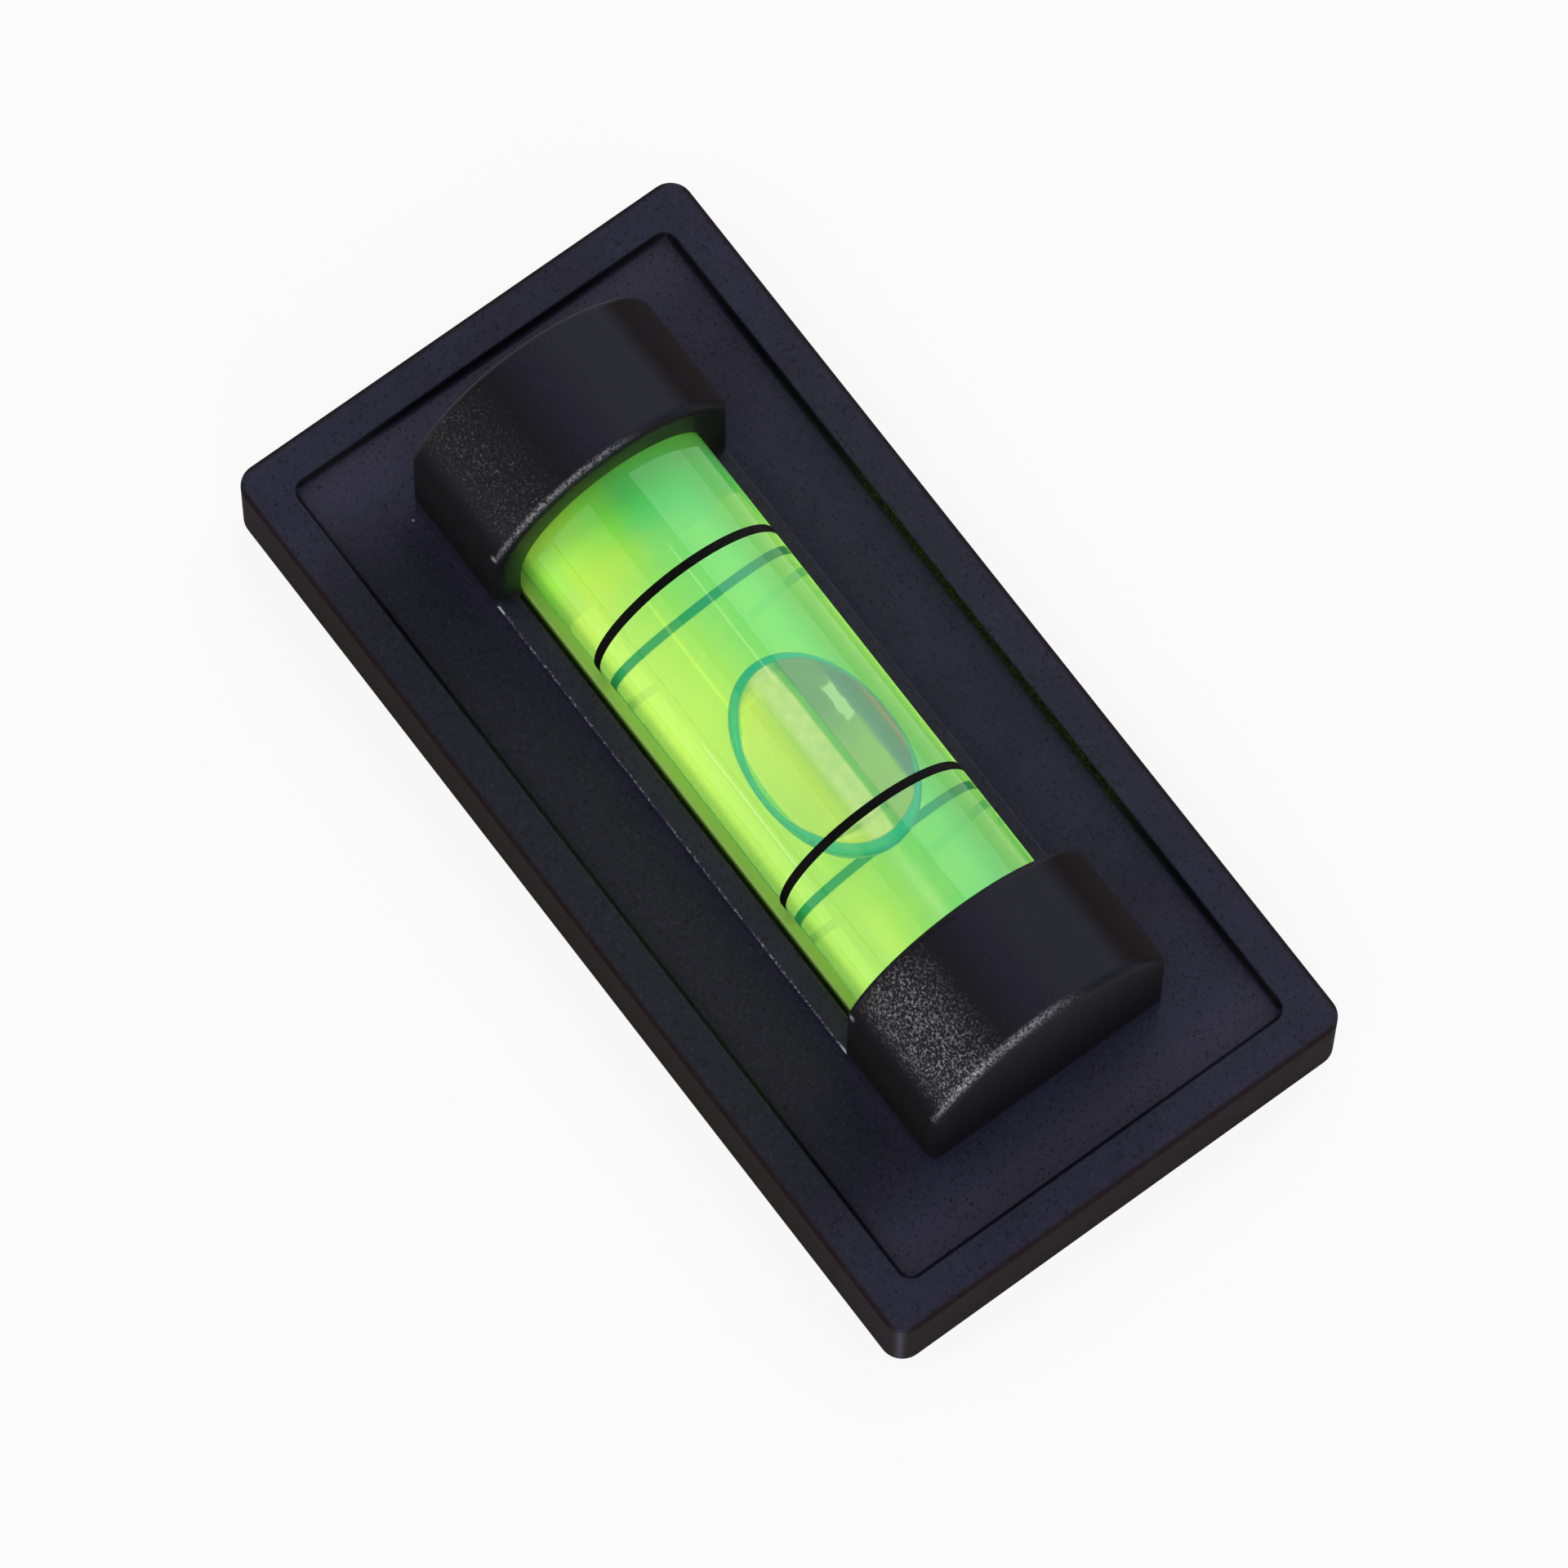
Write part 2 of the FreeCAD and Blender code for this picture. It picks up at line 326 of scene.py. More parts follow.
def plateColour(at):
    look = housingLook
    cloudy = noise(at.place, *look["clouds"]).ease(*look["cloudEdge"])
    colour = mixColour(cloudy, look["plastic"], look["patchy"])
    # painted shade on the panel beside the vial's -Y side
    besideVial = at.y.ease(*look["besideVialSide"]) * abs(at.x).ease(*look["besideVialEnd"])
    colour = mixColour(besideVial, colour, look["besideVial"])
    # painted light at the panel's ends
    panelEnds = abs(at.x).ease(*look["panelEndsStart"]) * at.z.ease(*look["panelTop"])
    return mixColour(panelEnds, colour, look["panelEnds"])


def capLightAndShade(at):
    # painted light and shade: blue on the crest and darker down both slopes, darkest on flanks and
    # end faces
    look = housingLook
    colour = mixColour(at.ny.ease(*look["nearSlopeTilt"]), look["crest"], look["nearSlope"])
    colour = mixColour(at.ny.ease(*look["farSlopeTilt"]), colour, look["farSlope"])
    plain, blotched = look["shoulderCover"]
    farShoulder = at.ny.ease(*look["farShoulderTilt"]) * (plain + at.blotch * blotched)
    colour = mixColour(farShoulder, colour, look["farShoulder"])
    colour = mixColour(at.flank, colour, look["flank"])
    return mixColour(abs(at.nx).ease(*look["endFaceTilt"]), colour, look["endFace"])


def grainMarks(at, colour):
    look = housingLook
    colour = mixColour(at.fine.ease(*look["pitEdge"]) * look["pitCover"], colour, look["pits"])
    shown = (1 - at.cap * look["fleckLossOnCaps"]) * look["fleckCover"]
    return mixColour(at.fine.ease(*look["fleckEdge"]) * shown, colour, look["flecks"])


def recessShade(at, colour):
    # painted deep shade on the wall round the sunk panel, with a few olive specks on its +Y side
    look = housingLook
    outOfPanel = (abs(at.x).ease(*look["recessLength"])
                  .larger(abs(at.y).ease(*look["recessWidth"])))
    inRim = abs(at.x).ease(*look["rimLength"]) * abs(at.y).ease(*look["rimWidth"])
    recess = outOfPanel * inRim * at.z.ease(*look["recessTop"])
    colour = mixColour(recess, colour, look["recess"])
    along = at.x.near(*look["oliveSpecksLength"]).ease(*look["oliveSpecksEnds"])
    oliveSpecks = recess * at.y.ease(*look["oliveSpecksSide"]) * along * at.coarse.ease(*look["oliveSpecksEdge"])
    return mixColour(oliveSpecks, colour, look["oliveSpecks"])


def vialGlow(at, colour):
    # painted light: the green that the clear tube throws on the edge of the opening that it comes out
    # of
    look = housingLook
    rise = at.z - look["mouthAxis"]
    disc = (at.y * at.y + rise * rise).ease(*look["mouthReach"])
    mouth = (at.x.near(*look["mouth"]) * disc
             * at.z.ease(*look["mouthHeight"]) * at.y.ease(*look["mouthSide"]))
    colour = mixColour(mouth, colour, look["mouthGlow"])
    # and on the far wall of the slot
    slot = (at.y.near(*look["slotSide"]) * at.z.ease(*look["slotTop"])
            * abs(at.x).ease(*look["slotLength"]))
    return mixColour(slot, colour, look["slotGlow"])


# painted glints on the caps' worn -Y shoulders, and painted highlights on edges and the rail
def paintedGlints(at):
    look = housingLook
    wornAndGlinting = at.coarse.ease(*look["wornGlintEdge"]) * at.wornAndGlinting * look["wornGlintCover"]
    sparse = (at.onCap * at.ny.ease(*look["sparseTilt"]) * at.nz.ease(*look["shoulderRise"])
              * at.coarse.ease(*look["sparseGlintEdge"]) * look["sparseGlintCover"])
    # painted highlights on the edges: the -X cap's mouth and the +X cap's far end
    edges = ((at.x.near(*look["mouthEdge"]) + at.x.near(*look["farEdge"]))
             * at.onCap * at.ny.ease(*look["edgeTilt"]) * at.nz.ease(*look["edgeRise"]))
    paintedEdgeHighlight = at.coarse.ease(*look["edgeGlintEdge"]) * edges * look["edgeGlintCover"]
    # painted highlight where the -Y rail catches light along its outer edge, most of all where it
    # meets the caps
    railEdge = (at.y.near(*look["railSide"]) * at.z.ease(*look["railTop"])
                * at.nz.ease(*look["railRise"]) * abs(at.x).ease(*look["railLength"]))
    rail = (at.coarse.ease(*look["railGlintEdge"]) * look["railGlintCover"]
            + abs(at.x).ease(*look["railFoot"]) * look["railFootCover"])
    return (wornAndGlinting + sparse + paintedEdgeHighlight).larger(railEdge * rail)


def dustShare(at):
    look = housingLook
    cells = {"Vector": at.place, "Scale": look["dustCells"]}
    speck, chance = (at.place.node("ShaderNodeTexVoronoi", None, cells, output)
                     for output in ("Distance", "Color"))
    chosen = at.place.node("ShaderNodeSeparateColor", None, {"Color": chance}, "Red")
    return ((1 - speck.ease(*look["dustSize"])) * chosen.ease(*look["dustChance"])
            * look["dustCover"])


def housingPlastic():
    look = housingLook
    material, start = newMaterial("housingPlastic")
    at = Spot(start)
    colour = mixColour(at.cap, plateColour(at), capLightAndShade(at))
    colour = grainMarks(at, colour)
    colour = recessShade(at, colour)
    colour = vialGlow(at, colour)
    # painted brown reflection on the outer walls, blotchy
    plain, blotched = look["wallCover"]
    colour = mixColour(at.outerWall * (plain + at.blotch * blotched), colour, look["outerWall"])
    # grain pits and painted glints on the worn shoulders, painted highlights on edges and the rail
    colour = mixColour(at.coarse.ease(*look["wornPitEdge"]) * at.wornAndGlinting, colour, look["pits"])
    colour = mixColour(paintedGlints(at), colour, look["glint"])
    colour = mixColour(dustShare(at), colour, look["dust"])
    dull = at.outerWall.larger(at.ny.ease(*look["dullTilt"]) * at.cap).larger(at.flank)
    rough = (look["roughness"] + (at.fine - 0.5) * look["grainRoughness"]
             + dull * look["dullRoughness"]
             - at.wornAndGlinting * (look["roughness"] - look["wornRoughness"]))
    leather = (at.onCap + at.wornAndGlinting) * look["capGrainShare"]
    relief = bump(at.fine * look["grainHeight"] + at.coarse * leather * look["capGrainHeight"])
    surface(start, principled(start, {
        "Base Color": colour,
        "Roughness": rough,
        "Normal": relief,
        "Specular IOR Level": look["specular"],
        "Coat Weight": at.coarse.ease(*look["coatEdge"]) * at.wornAndGlinting * look["coat"],
        "Coat Roughness": look["coatRoughness"],
        "Coat Normal": relief,
    }))
    return material


def dress(node, material):
    slots = nodes[node].data.materials
    slots.clear()
    slots.append(material)


dress("housing", housingPlastic())
print("housing dressed")


# Vial: clear tube with its bore, the liquid in it, and the bubble

vialLow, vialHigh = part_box("vial_body")
liquidLow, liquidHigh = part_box("vial_liquid")
plugLow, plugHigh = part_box("vial_plug")
vial = {
    "axisZ": (vialLow.z + vialHigh.z) / 2,
    "radius": (vialHigh.z - vialLow.z) / 2 - 0.02 * mm,     # a little inside the CAD box
    "chamfer": 0.3 * mm,
    "wallAtLeast": 1.0 * mm,
    "boreMid": (liquidHigh.y - liquidLow.y) / 2,
    "barrel": 0.18 * mm,        # how much narrower the bore is at its ends
    "boreRound": 0.5 * mm,
    "roundSteps": 6,
    "lengthSteps": 24,
    "turnSteps": 160,
    "film": 0.012 * mm,         # gap between the liquid's mesh and the bore
    "merge": 0.0001 * mm,       # points closer than this are one
    "sharp": 35,                # degrees; steeper edges aren't shaded smooth
    "acrylic": 1.49,            # refractive indices
    "liquid": 1.40,
}


def boreRadius(x):
    middle = (liquidLow.x + liquidHigh.x) / 2
    half = (liquidHigh.x - liquidLow.x) / 2
    return vial["boreMid"] - vial["barrel"] * ((x - middle) / half) ** 2


def boreProfile(inset):
    # from the axis at the closed end to the axis at the plug, as (x, radius)
    low, high = liquidLow.x + inset, liquidHigh.x - inset
    bend = vial["boreRound"]
    points = [(low, 0.0)]
    for i in range(vial["roundSteps"] + 1):
        turn = math.pi / 2 * i / vial["roundSteps"]
        radius = boreRadius(low + bend) - inset - bend + bend * math.sin(turn)
        points.append((low + bend - bend * math.cos(turn), radius))
    for i in range(1, vial["lengthSteps"] + 1):
        x = low + bend + (high - low - bend) * i / vial["lengthSteps"]
        points.append((x, boreRadius(x) - inset))
    return points + [(high, 0.0)]


def spin(profile):
    made = bmesh.new()
    points = [made.verts.new((x, 0.0, radius)) for x, radius in profile]
    edges = [made.edges.new(pair) for pair in zip(points, points[1:])]
    bmesh.ops.spin(made, geom=points + edges, cent=(0, 0, 0), axis=(1, 0, 0),
                   angle=2 * math.pi, steps=vial["turnSteps"], use_merge=True)
    bmesh.ops.remove_doubles(made, verts=made.verts, dist=vial["merge"])
    bmesh.ops.recalc_face_normals(made, faces=made.faces)
    return made


def finishPiece(made, name, materials):
    # lifts the shape to the vial's axis and fixes it to the part's one body
    bmesh.ops.translate(made, vec=(0, 0, vial["axisZ"]), verts=made.verts)
    mesh = bpy.data.meshes.new(name)
    made.to_mesh(mesh)
    made.free()
    for material in materials:
        mesh.materials.append(material)
    mesh.shade_smooth()
    mesh.set_sharp_from_angle(angle=math.radians(vial["sharp"]))
    piece = bpy.data.objects.new(name, mesh)
    bpy.context.scene.collection.objects.link(piece)
    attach(piece, "root")
    return piece


# a pair says where a zone starts and where it is full, in millimetres
acrylicLook = {
    "clear": rgb(0.98, 1.0, 0.97),
    # painted shade on the -Y limb and painted glow on the +Y flank
    "limb": rgb(0.30, 0.44, 0.25),
    "flankGlow": rgb(0.110, 0.240, 0.004),
    "limbSide": (-5.62, -5.95),
    "limbHeight": (6.0, 8.0),
    "flankSide": (5.40, 5.68),
    "flankHeight": (8.8, 9.8),
    "flankEnd": (-15.0, -8.0),
}


def clearAcrylic(name, index):
    # painted shade: the tube's -Y limb, seen edge on, is tinted darker
    look = acrylicLook
    material, start = newMaterial(name)
    x, y, z = places(start)[1:]
    limb = y.ease(*look["limbSide"]) * z.ease(*look["limbHeight"])
    # and a painted glow on its +Y flank stands in for some of the liquid's light
    flank = (y.ease(*look["flankSide"]) * z.ease(*look["flankHeight"])
             * x.ease(*look["flankEnd"]))
    surface(start, openToLamps(principled(start, {
        "Base Color": mixColour(limb, look["clear"], look["limb"]),
        "Roughness": 0.0,
        "IOR": index,
        "Transmission Weight": 1.0,
        "Emission Color": mixColour(flank, black, look["flankGlow"]),
        "Emission Strength": 1.0,
    })))
    return material


def vialGlass():
    r, c, end = vial["radius"], vial["chamfer"], vialHigh.x
    seat = (plugHigh.y - plugLow.y) / 2
    outer = [(-end, 0.0), (-end, r - c), (-end + c, r), (end - c, r), (end, r - c), (end, seat),
             (liquidHigh.x, seat)]
    bore = boreProfile(0.0)[:-1]
    made = spin(outer + bore[::-1])
    for face in made.faces:
        middle = face.calc_center_median()
        along = liquidLow.x - vial["merge"] < middle.x < liquidHigh.x
        face.material_index = int(along and middle.yz.length < r - vial["wallAtLeast"])
    piece = finishPiece(made, "vialGlass", [
        clearAcrylic("clearAcrylic", vial["acrylic"]),
        clearAcrylic("boreWall", vial["acrylic"] / vial["liquid"])])
    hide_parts("vial_body")


liquidLook = {
    "absorbed": rgb(0.952, 0.992, 0.0),     # what each colour keeps
    "density": 256.0,
    # the glow is painted light, with painted shade under the -X cap and down the +Y side
    "glow": rgb(0.012, 0.185, 0.072),
    "crest": rgb(0.016, 0.185, 0.132),
    "yellow": rgb(0.120, 0.245, 0.042),
    "nearCap": rgb(0.048, 0.300, 0.046),
    "farSide": rgb(0.016, 0.120, 0.050),
    "underCap": rgb(0.012, 0.050, 0.012),
    # painted highlights along the tube
    "line": rgb(0.26, 0.38, 0.30),

    # zones of the glow
    "crestSide": (-2.3, -0.8),
    "crestEnd": (-14.5, -12.0),
    "yellowEnd": (-8.5, -12.5),
    "yellowLimb": (-4.48, -3.70),
    "nearSide": (0.0, -2.5),
    "nearCapEnd": (-11.8, -14.4),
    "farSideStart": (2.2, 3.9),
    "underCapEnd": (-14.6, -16.6),

    # each line: its middle and reach across the tube, then where it starts and where it ends
    "lines": [((-4.05, 0.06), (-2.2, -0.5), (9.6, 7.0)),
              ((0.06, 0.09), (-11.5, -9.5), (0.0, -2.0))],
    "lineCover": 0.55,
    "stripe": (-0.45, 0.6),
    "stripeStart": (8.5, 12.0),
    "stripeCover": 0.35,
}


def greenLiquid():
    look = liquidLook
    material, start = newMaterial("greenLiquid")
    x, y = places(start)[1:3]
    # painted light and shade: bluer along the crest, yellower by the -X cap, dim under it and down
    # the +Y side
    crest = y.ease(*look["crestSide"]) * x.ease(*look["crestEnd"])
    nearSide = y.ease(*look["nearSide"])
    yellow = x.ease(*look["yellowEnd"]) * nearSide * y.ease(*look["yellowLimb"])
    glow = mixColour(crest, look["glow"], look["crest"])
    glow = mixColour(yellow, glow, look["yellow"])
    glow = mixColour(x.ease(*look["nearCapEnd"]) * nearSide, glow, look["nearCap"])
    glow = mixColour(y.ease(*look["farSideStart"]), glow, look["farSide"])
    glow = mixColour(x.ease(*look["underCapEnd"]), glow, look["underCap"])
    # painted highlights: two fine pale lines along the tube, and a softer stripe at its +X end
    lines = sum(y.near(*across) * x.ease(*first) * x.ease(*last)
                for across, first, last in look["lines"])
    stripe = y.near(*look["stripe"]) * x.ease(*look["stripeStart"])
    pale = lines * look["lineCover"] + stripe * look["stripeCover"]
    glow = mixColour(pale, glow, look["line"])
    light = start.node("ShaderNodeEmission", None, {"Color": glow, "Strength": 1.0})
    skin = start.node("ShaderNodeAddShader", None, {0: transparent(start), 1: light})
    volume = start.node("ShaderNodeVolumeAbsorption", None,
                        {"Color": look["absorbed"], "Density": look["density"]})
    surface(start, skin, volume)
    return material


bubble = {
    "x": 3.4 * mm,
    "halfLength": 6.3 * mm,
    "halfWidth": 3.68 * mm,
    "middle": 2.65 * mm,        # above the vial's axis
    "halfHeight": 2.1 * mm,
    "roofGap": 0.03 * mm,
    "segments": 128,
    "rings": 72,
}

bubbleLook = {
    # painted light, shade and reflection of the bubble
    "yellow": rgb(0.60, 0.66, 0.02),
    "streak": rgb(0.60, 0.63, 0.17),
    "greenLine": rgb(0.21, 0.37, 0.01),
    "spark": rgb(0.34, 0.48, 0.15),
    "grey": rgb(0.140, 0.165, 0.030),
    "yellowGrey": rgb(0.235, 0.330, 0.010),
    "blueGrey": rgb(0.080, 0.098, 0.045),
    "brown": rgb(0.160, 0.100, 0.015),
    "rim": rgb(0.015, 0.290, 0.110),
    "paleRim": rgb(0.060, 0.390, 0.190),
    "outline": rgb(0.040, 0.050, 0.015),
    "base": rgb(0.004, 0.004, 0.004),

    # roughens the zones' edges
    "ragged": (1.6, 3.0),
    "raggedSize": 0.7,

    # zones under the roof, in millimetres, and the most that each covers
    "roof": (11.2, 11.5),
    "greySide": (0.55, 0.75),
    "greyCover": 0.95,
    "yellowSide": (-1.5, 1.2),
    "yellowCover": 0.5,
    "streakStart": (-1.5, -0.6),
    "streakEnd": (0.7, 0.5),
    "streakCover": (0.74, 0.9),         # plain, and more where ragged
    "sparkLength": (2.65, 1.6),
    "sparkSlant": 0.5,
    "sparkEnds": (0.1, 0.3),
    "sparkWidth": (1.95, 0.42),
    "sparkRagged": 0.6,
    "sparkSides": (0.1, 0.4),
    "yellowGreyStart": (0.5, 5.5),
    "yellowGreyRagged": 3.0,
    "blueGreyStart": (2.1, 2.5),
    "blueGreyRagged": 0.3,
    "brownStart": (3.1, 3.35),
    "yellowToStreak": (-1.2, -0.6),
    "greenLineStart": (0.22, 0.42),

    # the rim, by how far out it lies: 1 is the bubble's edge
    "rimStart": (0.785, 0.825),
    "rimHeight": (10.8, 11.3),
    "rimCover": 0.85,
    "rimWiderAcross": 0.09,
    "rimNarrower": 0.05,
    "rimNarrowerSide": (0.8, 2.6),
    "innerLine": (0.80, 0.03),
    "outerLine": (0.985, 0.03),
    "outerLineShare": 0.7,
    "lineCover": 0.75,
    "paleRimEdge": (0.35, 0.85),
    "paleRimCover": 0.5,
}


def bubbleShade(x, y, ragged):
    # painted light and shade: yellow, a pale streak and a green line, then grey down the +Y side
    look = bubbleLook
    grey = mixColour((x + ragged * look["yellowGreyRagged"]).ease(*look["yellowGreyStart"]),
                     look["grey"], look["yellowGrey"])
    grey = mixColour((y + ragged * look["blueGreyRagged"]).ease(*look["blueGreyStart"]),
                     grey, look["blueGrey"])
    grey = mixColour(y.ease(*look["brownStart"]), grey, look["brown"])
    colour = mixColour(y.ease(*look["yellowToStreak"]), look["yellow"], look["streak"])
    return mixColour(y.ease(*look["greenLineStart"]), colour, look["greenLine"]), grey


def bubbleSkin():
    # painted light, shade and reflection over the clear skin: a teal rim all round and, under the
    # roof, a pale streak, a bright highlight and a grey shade down the +Y side
    look = bubbleLook
    material, start = newMaterial("bubbleSkin")
    place, x, y, z = places(start)
    across = y / (bubble["halfWidth"] / mm)
    along = (x - bubble["x"] / mm) / (bubble["halfLength"] / mm)
    outwards = across * across + along * along
    ragged = (noise(place, *look["ragged"]) - 0.5) * look["raggedSize"]

    # how much each mark covers
    roof = z.ease(*look["roof"])
    grey = y.ease(*look["greySide"]) * roof * look["greyCover"]
    yellow = y.near(*look["yellowSide"]) * roof * look["yellowCover"]
    plain, rough = look["streakCover"]
    streak = (y.ease(*look["streakStart"]) * y.ease(*look["streakEnd"])
              * (plain + ragged * rough) * roof)
    slanted = x + y * look["sparkSlant"] + ragged
    spark = (slanted.near(*look["sparkLength"]).ease(*look["sparkEnds"])
             * (y + ragged * look["sparkRagged"]).near(*look["sparkWidth"]).ease(*look["sparkSides"])
             * roof)
    inner = (outwards - across * across * look["rimWiderAcross"]
             - y.ease(*look["rimNarrowerSide"]) * look["rimNarrower"])
    rim = inner.ease(*look["rimStart"]) * z.ease(*look["rimHeight"])
    lines = inner.near(*look["innerLine"]).larger(
        outwards.near(*look["outerLine"]) * look["outerLineShare"])

    painted, shaded = bubbleShade(x, y, ragged)
    painted = mixColour(grey, painted, shaded)
    painted = mixColour(spark, painted, look["spark"])
    teal = mixColour((ragged + 0.5).ease(*look["paleRimEdge"]) * look["paleRimCover"],
                     look["rim"], look["paleRim"])
    teal = mixColour(lines * look["lineCover"], teal, look["outline"])
    painted = mixColour(rim, painted, teal)
    clear = principled(start, {"Roughness": 0.0, "IOR": vial["liquid"], "Transmission Weight": 1.0})
    paint = principled(start, {"Base Color": look["base"], "Roughness": 1.0,
                               "Specular IOR Level": 0.0,
                               "Emission Color": painted, "Emission Strength": 1.0})
    covered = (rim * look["rimCover"]).larger(grey).larger(streak).larger(yellow)
    surface(start, openToLamps(mixShaders(covered, clear, paint)))
    return material


def addBubble(made):
    # a closed void in the liquid, pressed against the bore's roof
    count = len(made.faces)
    ball = bmesh.ops.create_uvsphere(made, u_segments=bubble["segments"],
                                     v_segments=bubble["rings"], radius=1.0)["verts"]
    for vert in ball:
        x = bubble["x"] + bubble["halfLength"] * vert.co.x
        side = Vector((bubble["halfWidth"] * vert.co.y,
                       bubble["middle"] + bubble["halfHeight"] * vert.co.z))
        limit = boreRadius(x) - bubble["roofGap"]
        if side.length > limit:
            side *= limit / side.length
        vert.co = (x, side.x, side.y)
    made.faces.ensure_lookup_table()
    skin = made.faces[count:]
    bmesh.ops.recalc_face_normals(made, faces=skin)
    bmesh.ops.reverse_faces(made, faces=skin)
    for face in skin:
        face.material_index = 1


def vialLiquid():
    made = spin(boreProfile(vial["film"]))
    addBubble(made)
    piece = finishPiece(made, "vialLiquid", [greenLiquid(), bubbleSkin()])
    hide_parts("vial_liquid")


vialGlass()
vialLiquid()
dress("vial_plug", clearAcrylic("plugAcrylic", vial["acrylic"]))
print("vial and liquid made")


# Black rings on the vial

ringLook = {
    "black": rgb(0.0015, 0.0015, 0.0015),
    "rubbed": rgb(0.004, 0.004, 0.004),
    "wearAndGlintSlope": (3.0, 3.0),
    "wearEdge": (0.35, 0.75),
    "roughness": 0.55,
    "rubbedRoughness": 0.2,     # added where rubbed
    "specular": 0.08,
}


def ringPaint():
    look = ringLook
    material, start = newMaterial("ringPaint")
    rubbed = noise(places(start)[0], *look["wearAndGlintSlope"]).ease(*look["wearEdge"])
    surface(start, principled(start, {
        "Base Color": mixColour(rubbed, look["black"], look["rubbed"]),
        "Roughness": look["roughness"] + rubbed * look["rubbedRoughness"],
        "Specular IOR Level": look["specular"],
    }))
    return material


ringBlack = ringPaint()
for ring in ("vial_ring_left", "vial_ring_right"):
    dress(ring, ringBlack)
    nodes[ring].visible_shadow = False      # no shadow of a ring shows through the liquid


# White saddle under the vial

saddleLook = {
    # painted light and shade on the white saddle
    "lit": rgb(0.88, 0.54, 0.62),
    "shaded": rgb(0.25, 0.36, 0.48),
    "deep": rgb(0.09, 0.14, 0.16),
    "dark": rgb(0.12, 0.26, 0.16),
    "olive": rgb(0.19, 0.36, 0.06),
    "farOlive": rgb(0.72, 0.92, 0.26),
    "clouds": (0.25, 2.0),
    "roughness": 0.45,
    "cloudRoughness": 0.1,

    # zones in millimetres
    "shadeStart": (-0.6, 2.6),
    "shadeWander": 1.6,
    "shadeShift": 0.6,
    "shadeShiftEnd": (5.0, 9.0),
    "deepStart": (2.4, 3.6),
    "capShadeEnd": (-13.7, -17.1),
    "capShadeSlant": 0.5,
    "capShadeSide": (-0.4, 1.6),
    "mouthEnd": (-15.0, -17.2),
    "mouthCover": 0.4,
    "edgeStart": (4.1, 4.4),
    "edgeFarSide": (-1.0, 1.0),
}


def saddlePlastic():
    # painted light and shade: the liquid colours the light that falls on the saddle, most of it on
    # the -Y side
    look = saddleLook
    material, start = newMaterial("saddlePlastic")
    place, x, y = places(start)[:3]
    cloudy = noise(place, *look["clouds"])
    wander = (cloudy - 0.5) * look["shadeWander"]
    shift = x.ease(*look["shadeShiftEnd"]) * look["shadeShift"]
    shade = (y + wander - shift).ease(*look["shadeStart"])
    capShade = (x - y * look["capShadeSlant"]).ease(*look["capShadeEnd"])
    colour = mixColour(shade, look["lit"], look["shaded"])
    colour = mixColour(y.ease(*look["deepStart"]), colour, look["deep"])
    colour = mixColour(capShade * y.ease(*look["capShadeSide"]), colour, look["dark"])
    colour = mixColour(x.ease(*look["mouthEnd"]) * look["mouthCover"], colour, look["dark"])
    # painted green light from the liquid on the saddle's edges
    edge = mixColour(y.ease(*look["edgeFarSide"]), look["olive"], look["farOlive"])
    colour = mixColour(abs(y).ease(*look["edgeStart"]), colour, edge)
    rough = look["roughness"] + cloudy * look["cloudRoughness"]
    surface(start, principled(start, {"Base Color": colour, "Roughness": rough}))
    return material


dress("vial_cradle", saddlePlastic())


# Magnet sheet in the back

magnetLook = {
    "dark": rgb(0.045, 0.038, 0.034),
    "pale": rgb(0.075, 0.066, 0.060),
    "mottle": (1.2, 4.0, 0.6),
    "mottleEdge": (0.3, 0.7),
    "grain": (9.0, 2.0),
    "grainHeight": 0.006,       # millimetres
    "roughness": 0.62,
    "mottleRoughness": 0.15,
}


def magnetRubber():
    look = magnetLook
    material, start = newMaterial("magnetRubber")
    place = places(start)[0]
    mottle = noise(place, *look["mottle"])
    surface(start, principled(start, {
        "Base Color": mixColour(mottle.ease(*look["mottleEdge"]), look["dark"], look["pale"]),
        "Roughness": look["roughness"] + mottle * look["mottleRoughness"],
        "Normal": bump(noise(place, *look["grain"]) * look["grainHeight"]),
    }))
    return material


dress("magnet_sheet", magnetRubber())
print("rings, saddle and magnet dressed")


# Floor, lamps and world

stage = {
    "floorSize": 3.0,
    "floorDrop": 0.03 * mm,
    "floorColour": rgb(0.60, 0.60, 0.60),
    "floorWhite": 0.88,         # how much of the floor the camera sees as plain white
    "ambient": 0.8,
    "mirrored": 0.15,           # the room's strength as glossy surfaces see it
}

lamps = {
    "bigLamp": {"towards": (-0.36, 0.77, 0.53), "distance": 0.42, "size": (0.46, 0.52), "glow": 1.3},
    "sideLamp": {"towards": (0.14, -0.83, 0.54), "distance": 0.45, "size": (0.58, 0.52), "glow": 0.8},
    "edgeLamp": {"towards": (0.90, -0.25, 0.36), "distance": 0.45, "size": (0.30, 0.16), "glow": 4.0},
}


def floor():
    made = bmesh.new()
    bmesh.ops.create_grid(made, x_segments=1, y_segments=1, size=stage["floorSize"] / 2)
    bmesh.ops.translate(made, vec=(0, 0, -stage["floorDrop"]), verts=made.verts)
    mesh = bpy.data.meshes.new("floor")
    made.to_mesh(mesh)
    made.free()
    material, start = newMaterial("paleFloor")
    lit = start.node("ShaderNodeBsdfDiffuse", None, {"Color": stage["floorColour"]})
    plain = start.node("ShaderNodeEmission", None, {"Color": white, "Strength": 1.0})
    seen = start.node("ShaderNodeLightPath", output="Is Camera Ray")
    surface(start, mixShaders(seen * stage["floorWhite"], lit, plain))
    mesh.materials.append(material)
    piece = bpy.data.objects.new("floor", mesh)
    bpy.context.scene.collection.objects.link(piece)


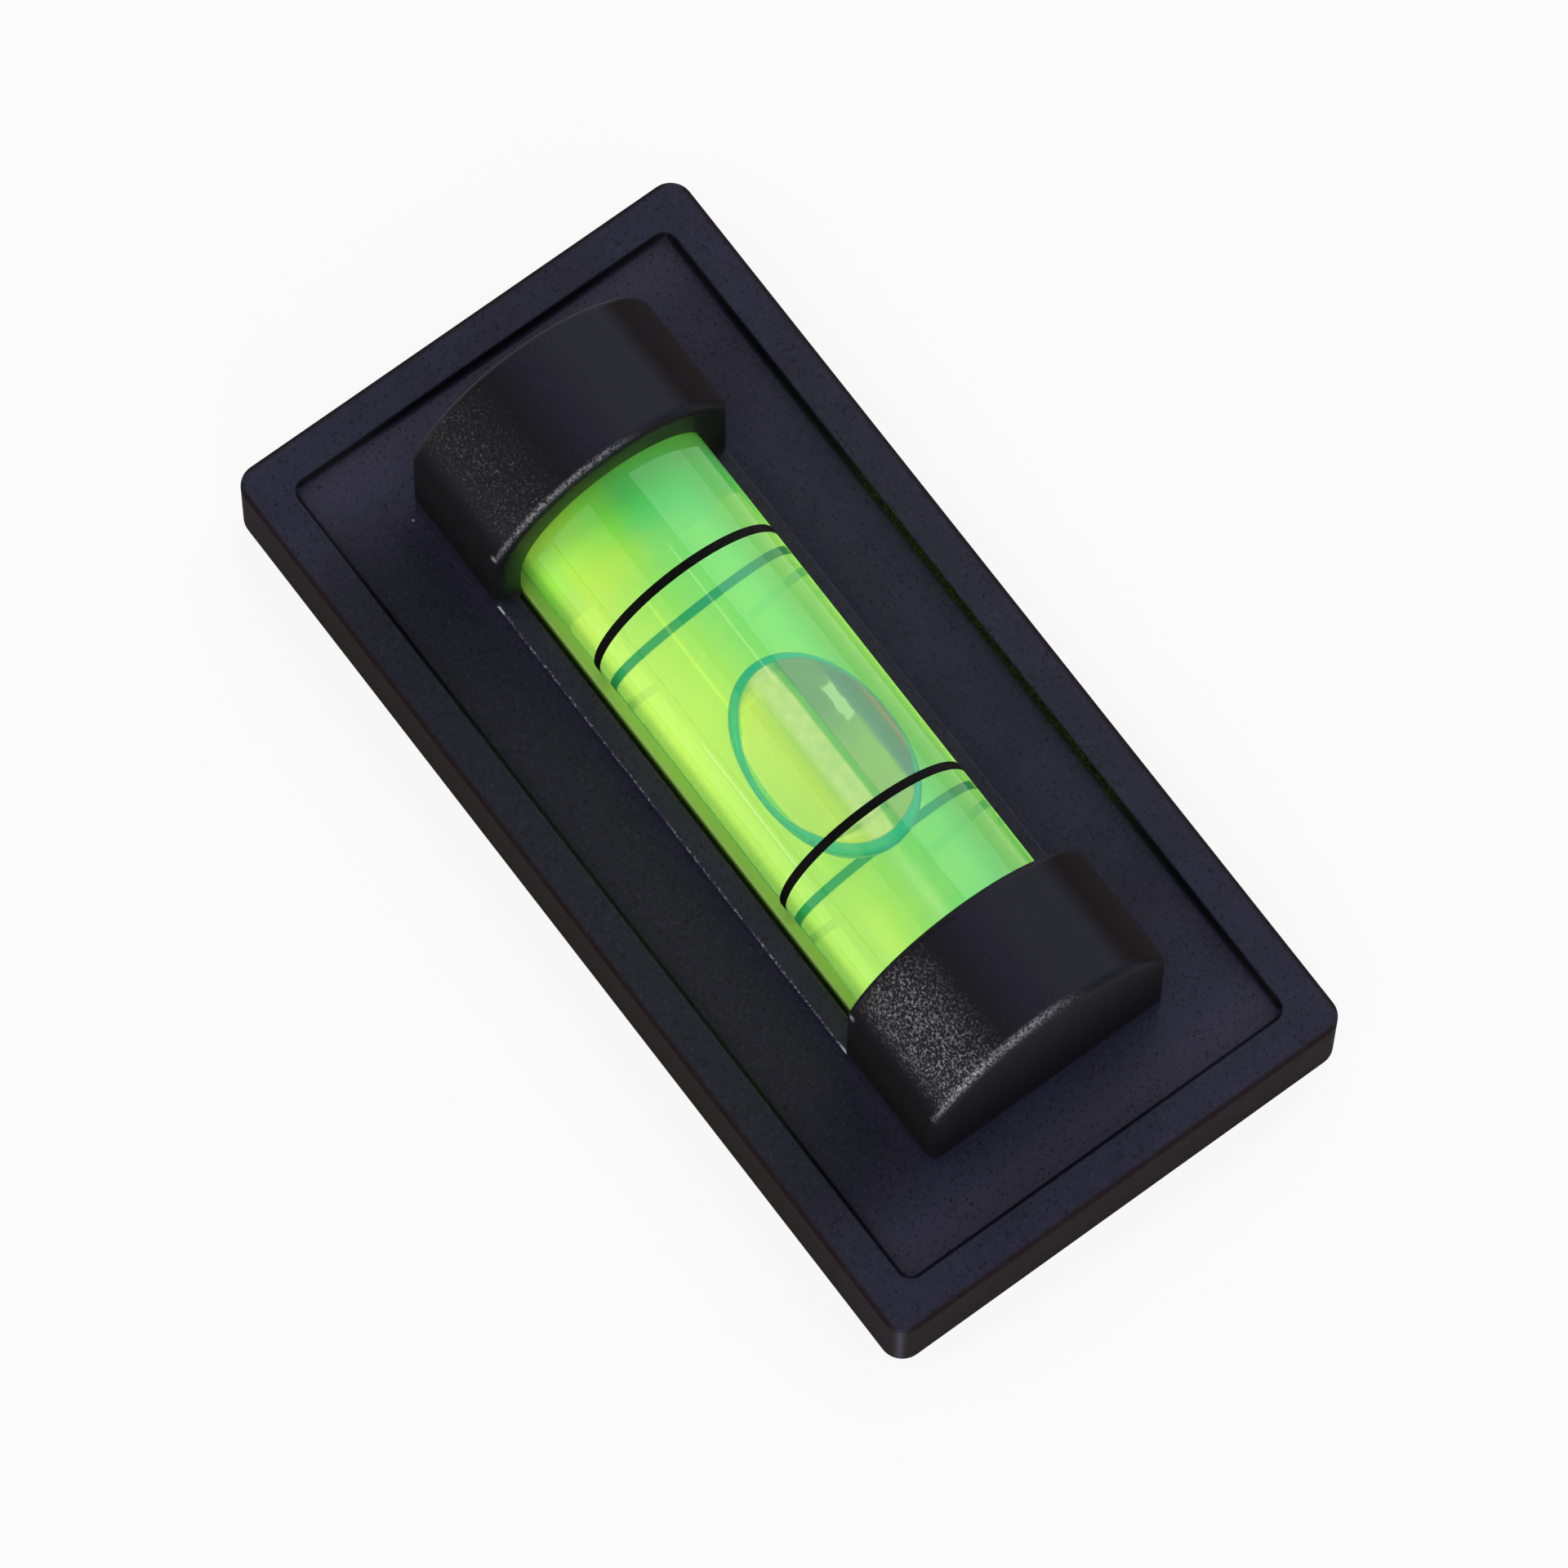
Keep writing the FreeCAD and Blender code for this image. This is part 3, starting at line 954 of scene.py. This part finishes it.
def lamp(name, facts):
    data = bpy.data.lights.new(name, "AREA")
    data.shape = "RECTANGLE"
    data.size, data.size_y = facts["size"]
    data.energy = facts["glow"] * math.pi * data.size * data.size_y     # the same glow at any size
    towards = Vector(facts["towards"]).normalized()
    piece = bpy.data.objects.new(name, data)
    piece.rotation_euler = towards.to_track_quat("Z", "Y").to_euler()
    piece.location = towards * facts["distance"] + Vector((0, 0, vial["axisZ"]))
    bpy.context.scene.collection.objects.link(piece)


def skyLight():
    world = bpy.data.worlds.new("studio")
    bpy.context.scene.world = world
    world.use_nodes = True
    world.node_tree.nodes.clear()
    start = Wire(world.node_tree)
    # glossy and clear surfaces mirror a dimmer room than the one that lights the piece
    seen, glossy, diffuseDepth = (start.node("ShaderNodeLightPath", output=name)
                                  for name in ("Is Camera Ray", "Is Glossy Ray", "Diffuse Depth"))
    mirrored = glossy * (1 - diffuseDepth.smaller(1.0))
    ambient = stage["ambient"]
    strength = ambient - mirrored * (ambient - stage["mirrored"]) + seen * (1 - ambient)
    plain = start.node("ShaderNodeBackground", None, {"Color": white, "Strength": strength})
    start.node("ShaderNodeOutputWorld", None, {"Surface": plain})


floor()
for name, facts in lamps.items():
    lamp(name, facts)
skyLight()


# Camera, at the photograph's angle

view = {
    "azimuth": -38.256,         # degrees from +X, about Z
    "elevation": 71.505,
    "roll": 1.659,
    "distance": 661.82 * mm,
    "sensor": 36.0,
    "lens": 282.0,
    "shift": (-0.00039, -0.00281),
    "clip": (0.01, 20.0),
}


def camera():
    data = bpy.data.cameras.new("camera")
    data.sensor_width = view["sensor"]
    data.lens = view["lens"]
    data.shift_x, data.shift_y = view["shift"]
    data.clip_start, data.clip_end = view["clip"]
    turn, rise, roll = (math.radians(view[k]) for k in ("azimuth", "elevation", "roll"))
    back = Vector((math.cos(rise) * math.cos(turn), math.cos(rise) * math.sin(turn), math.sin(rise)))
    right = Vector((-math.sin(turn), math.cos(turn), 0.0))
    upward = back.cross(right)
    rolledRight = right * math.cos(roll) + upward * math.sin(roll)
    rolledUp = upward * math.cos(roll) - right * math.sin(roll)
    turned = Matrix((rolledRight, rolledUp, back)).transposed().to_quaternion()
    piece = bpy.data.objects.new("camera", data)
    piece.matrix_world = Matrix.LocRotScale(back * view["distance"], turned, None)
    bpy.context.scene.collection.objects.link(piece)
    bpy.context.scene.camera = piece


camera()
bpy.context.scene.view_settings.view_transform = "Standard"
print("stage and camera set")
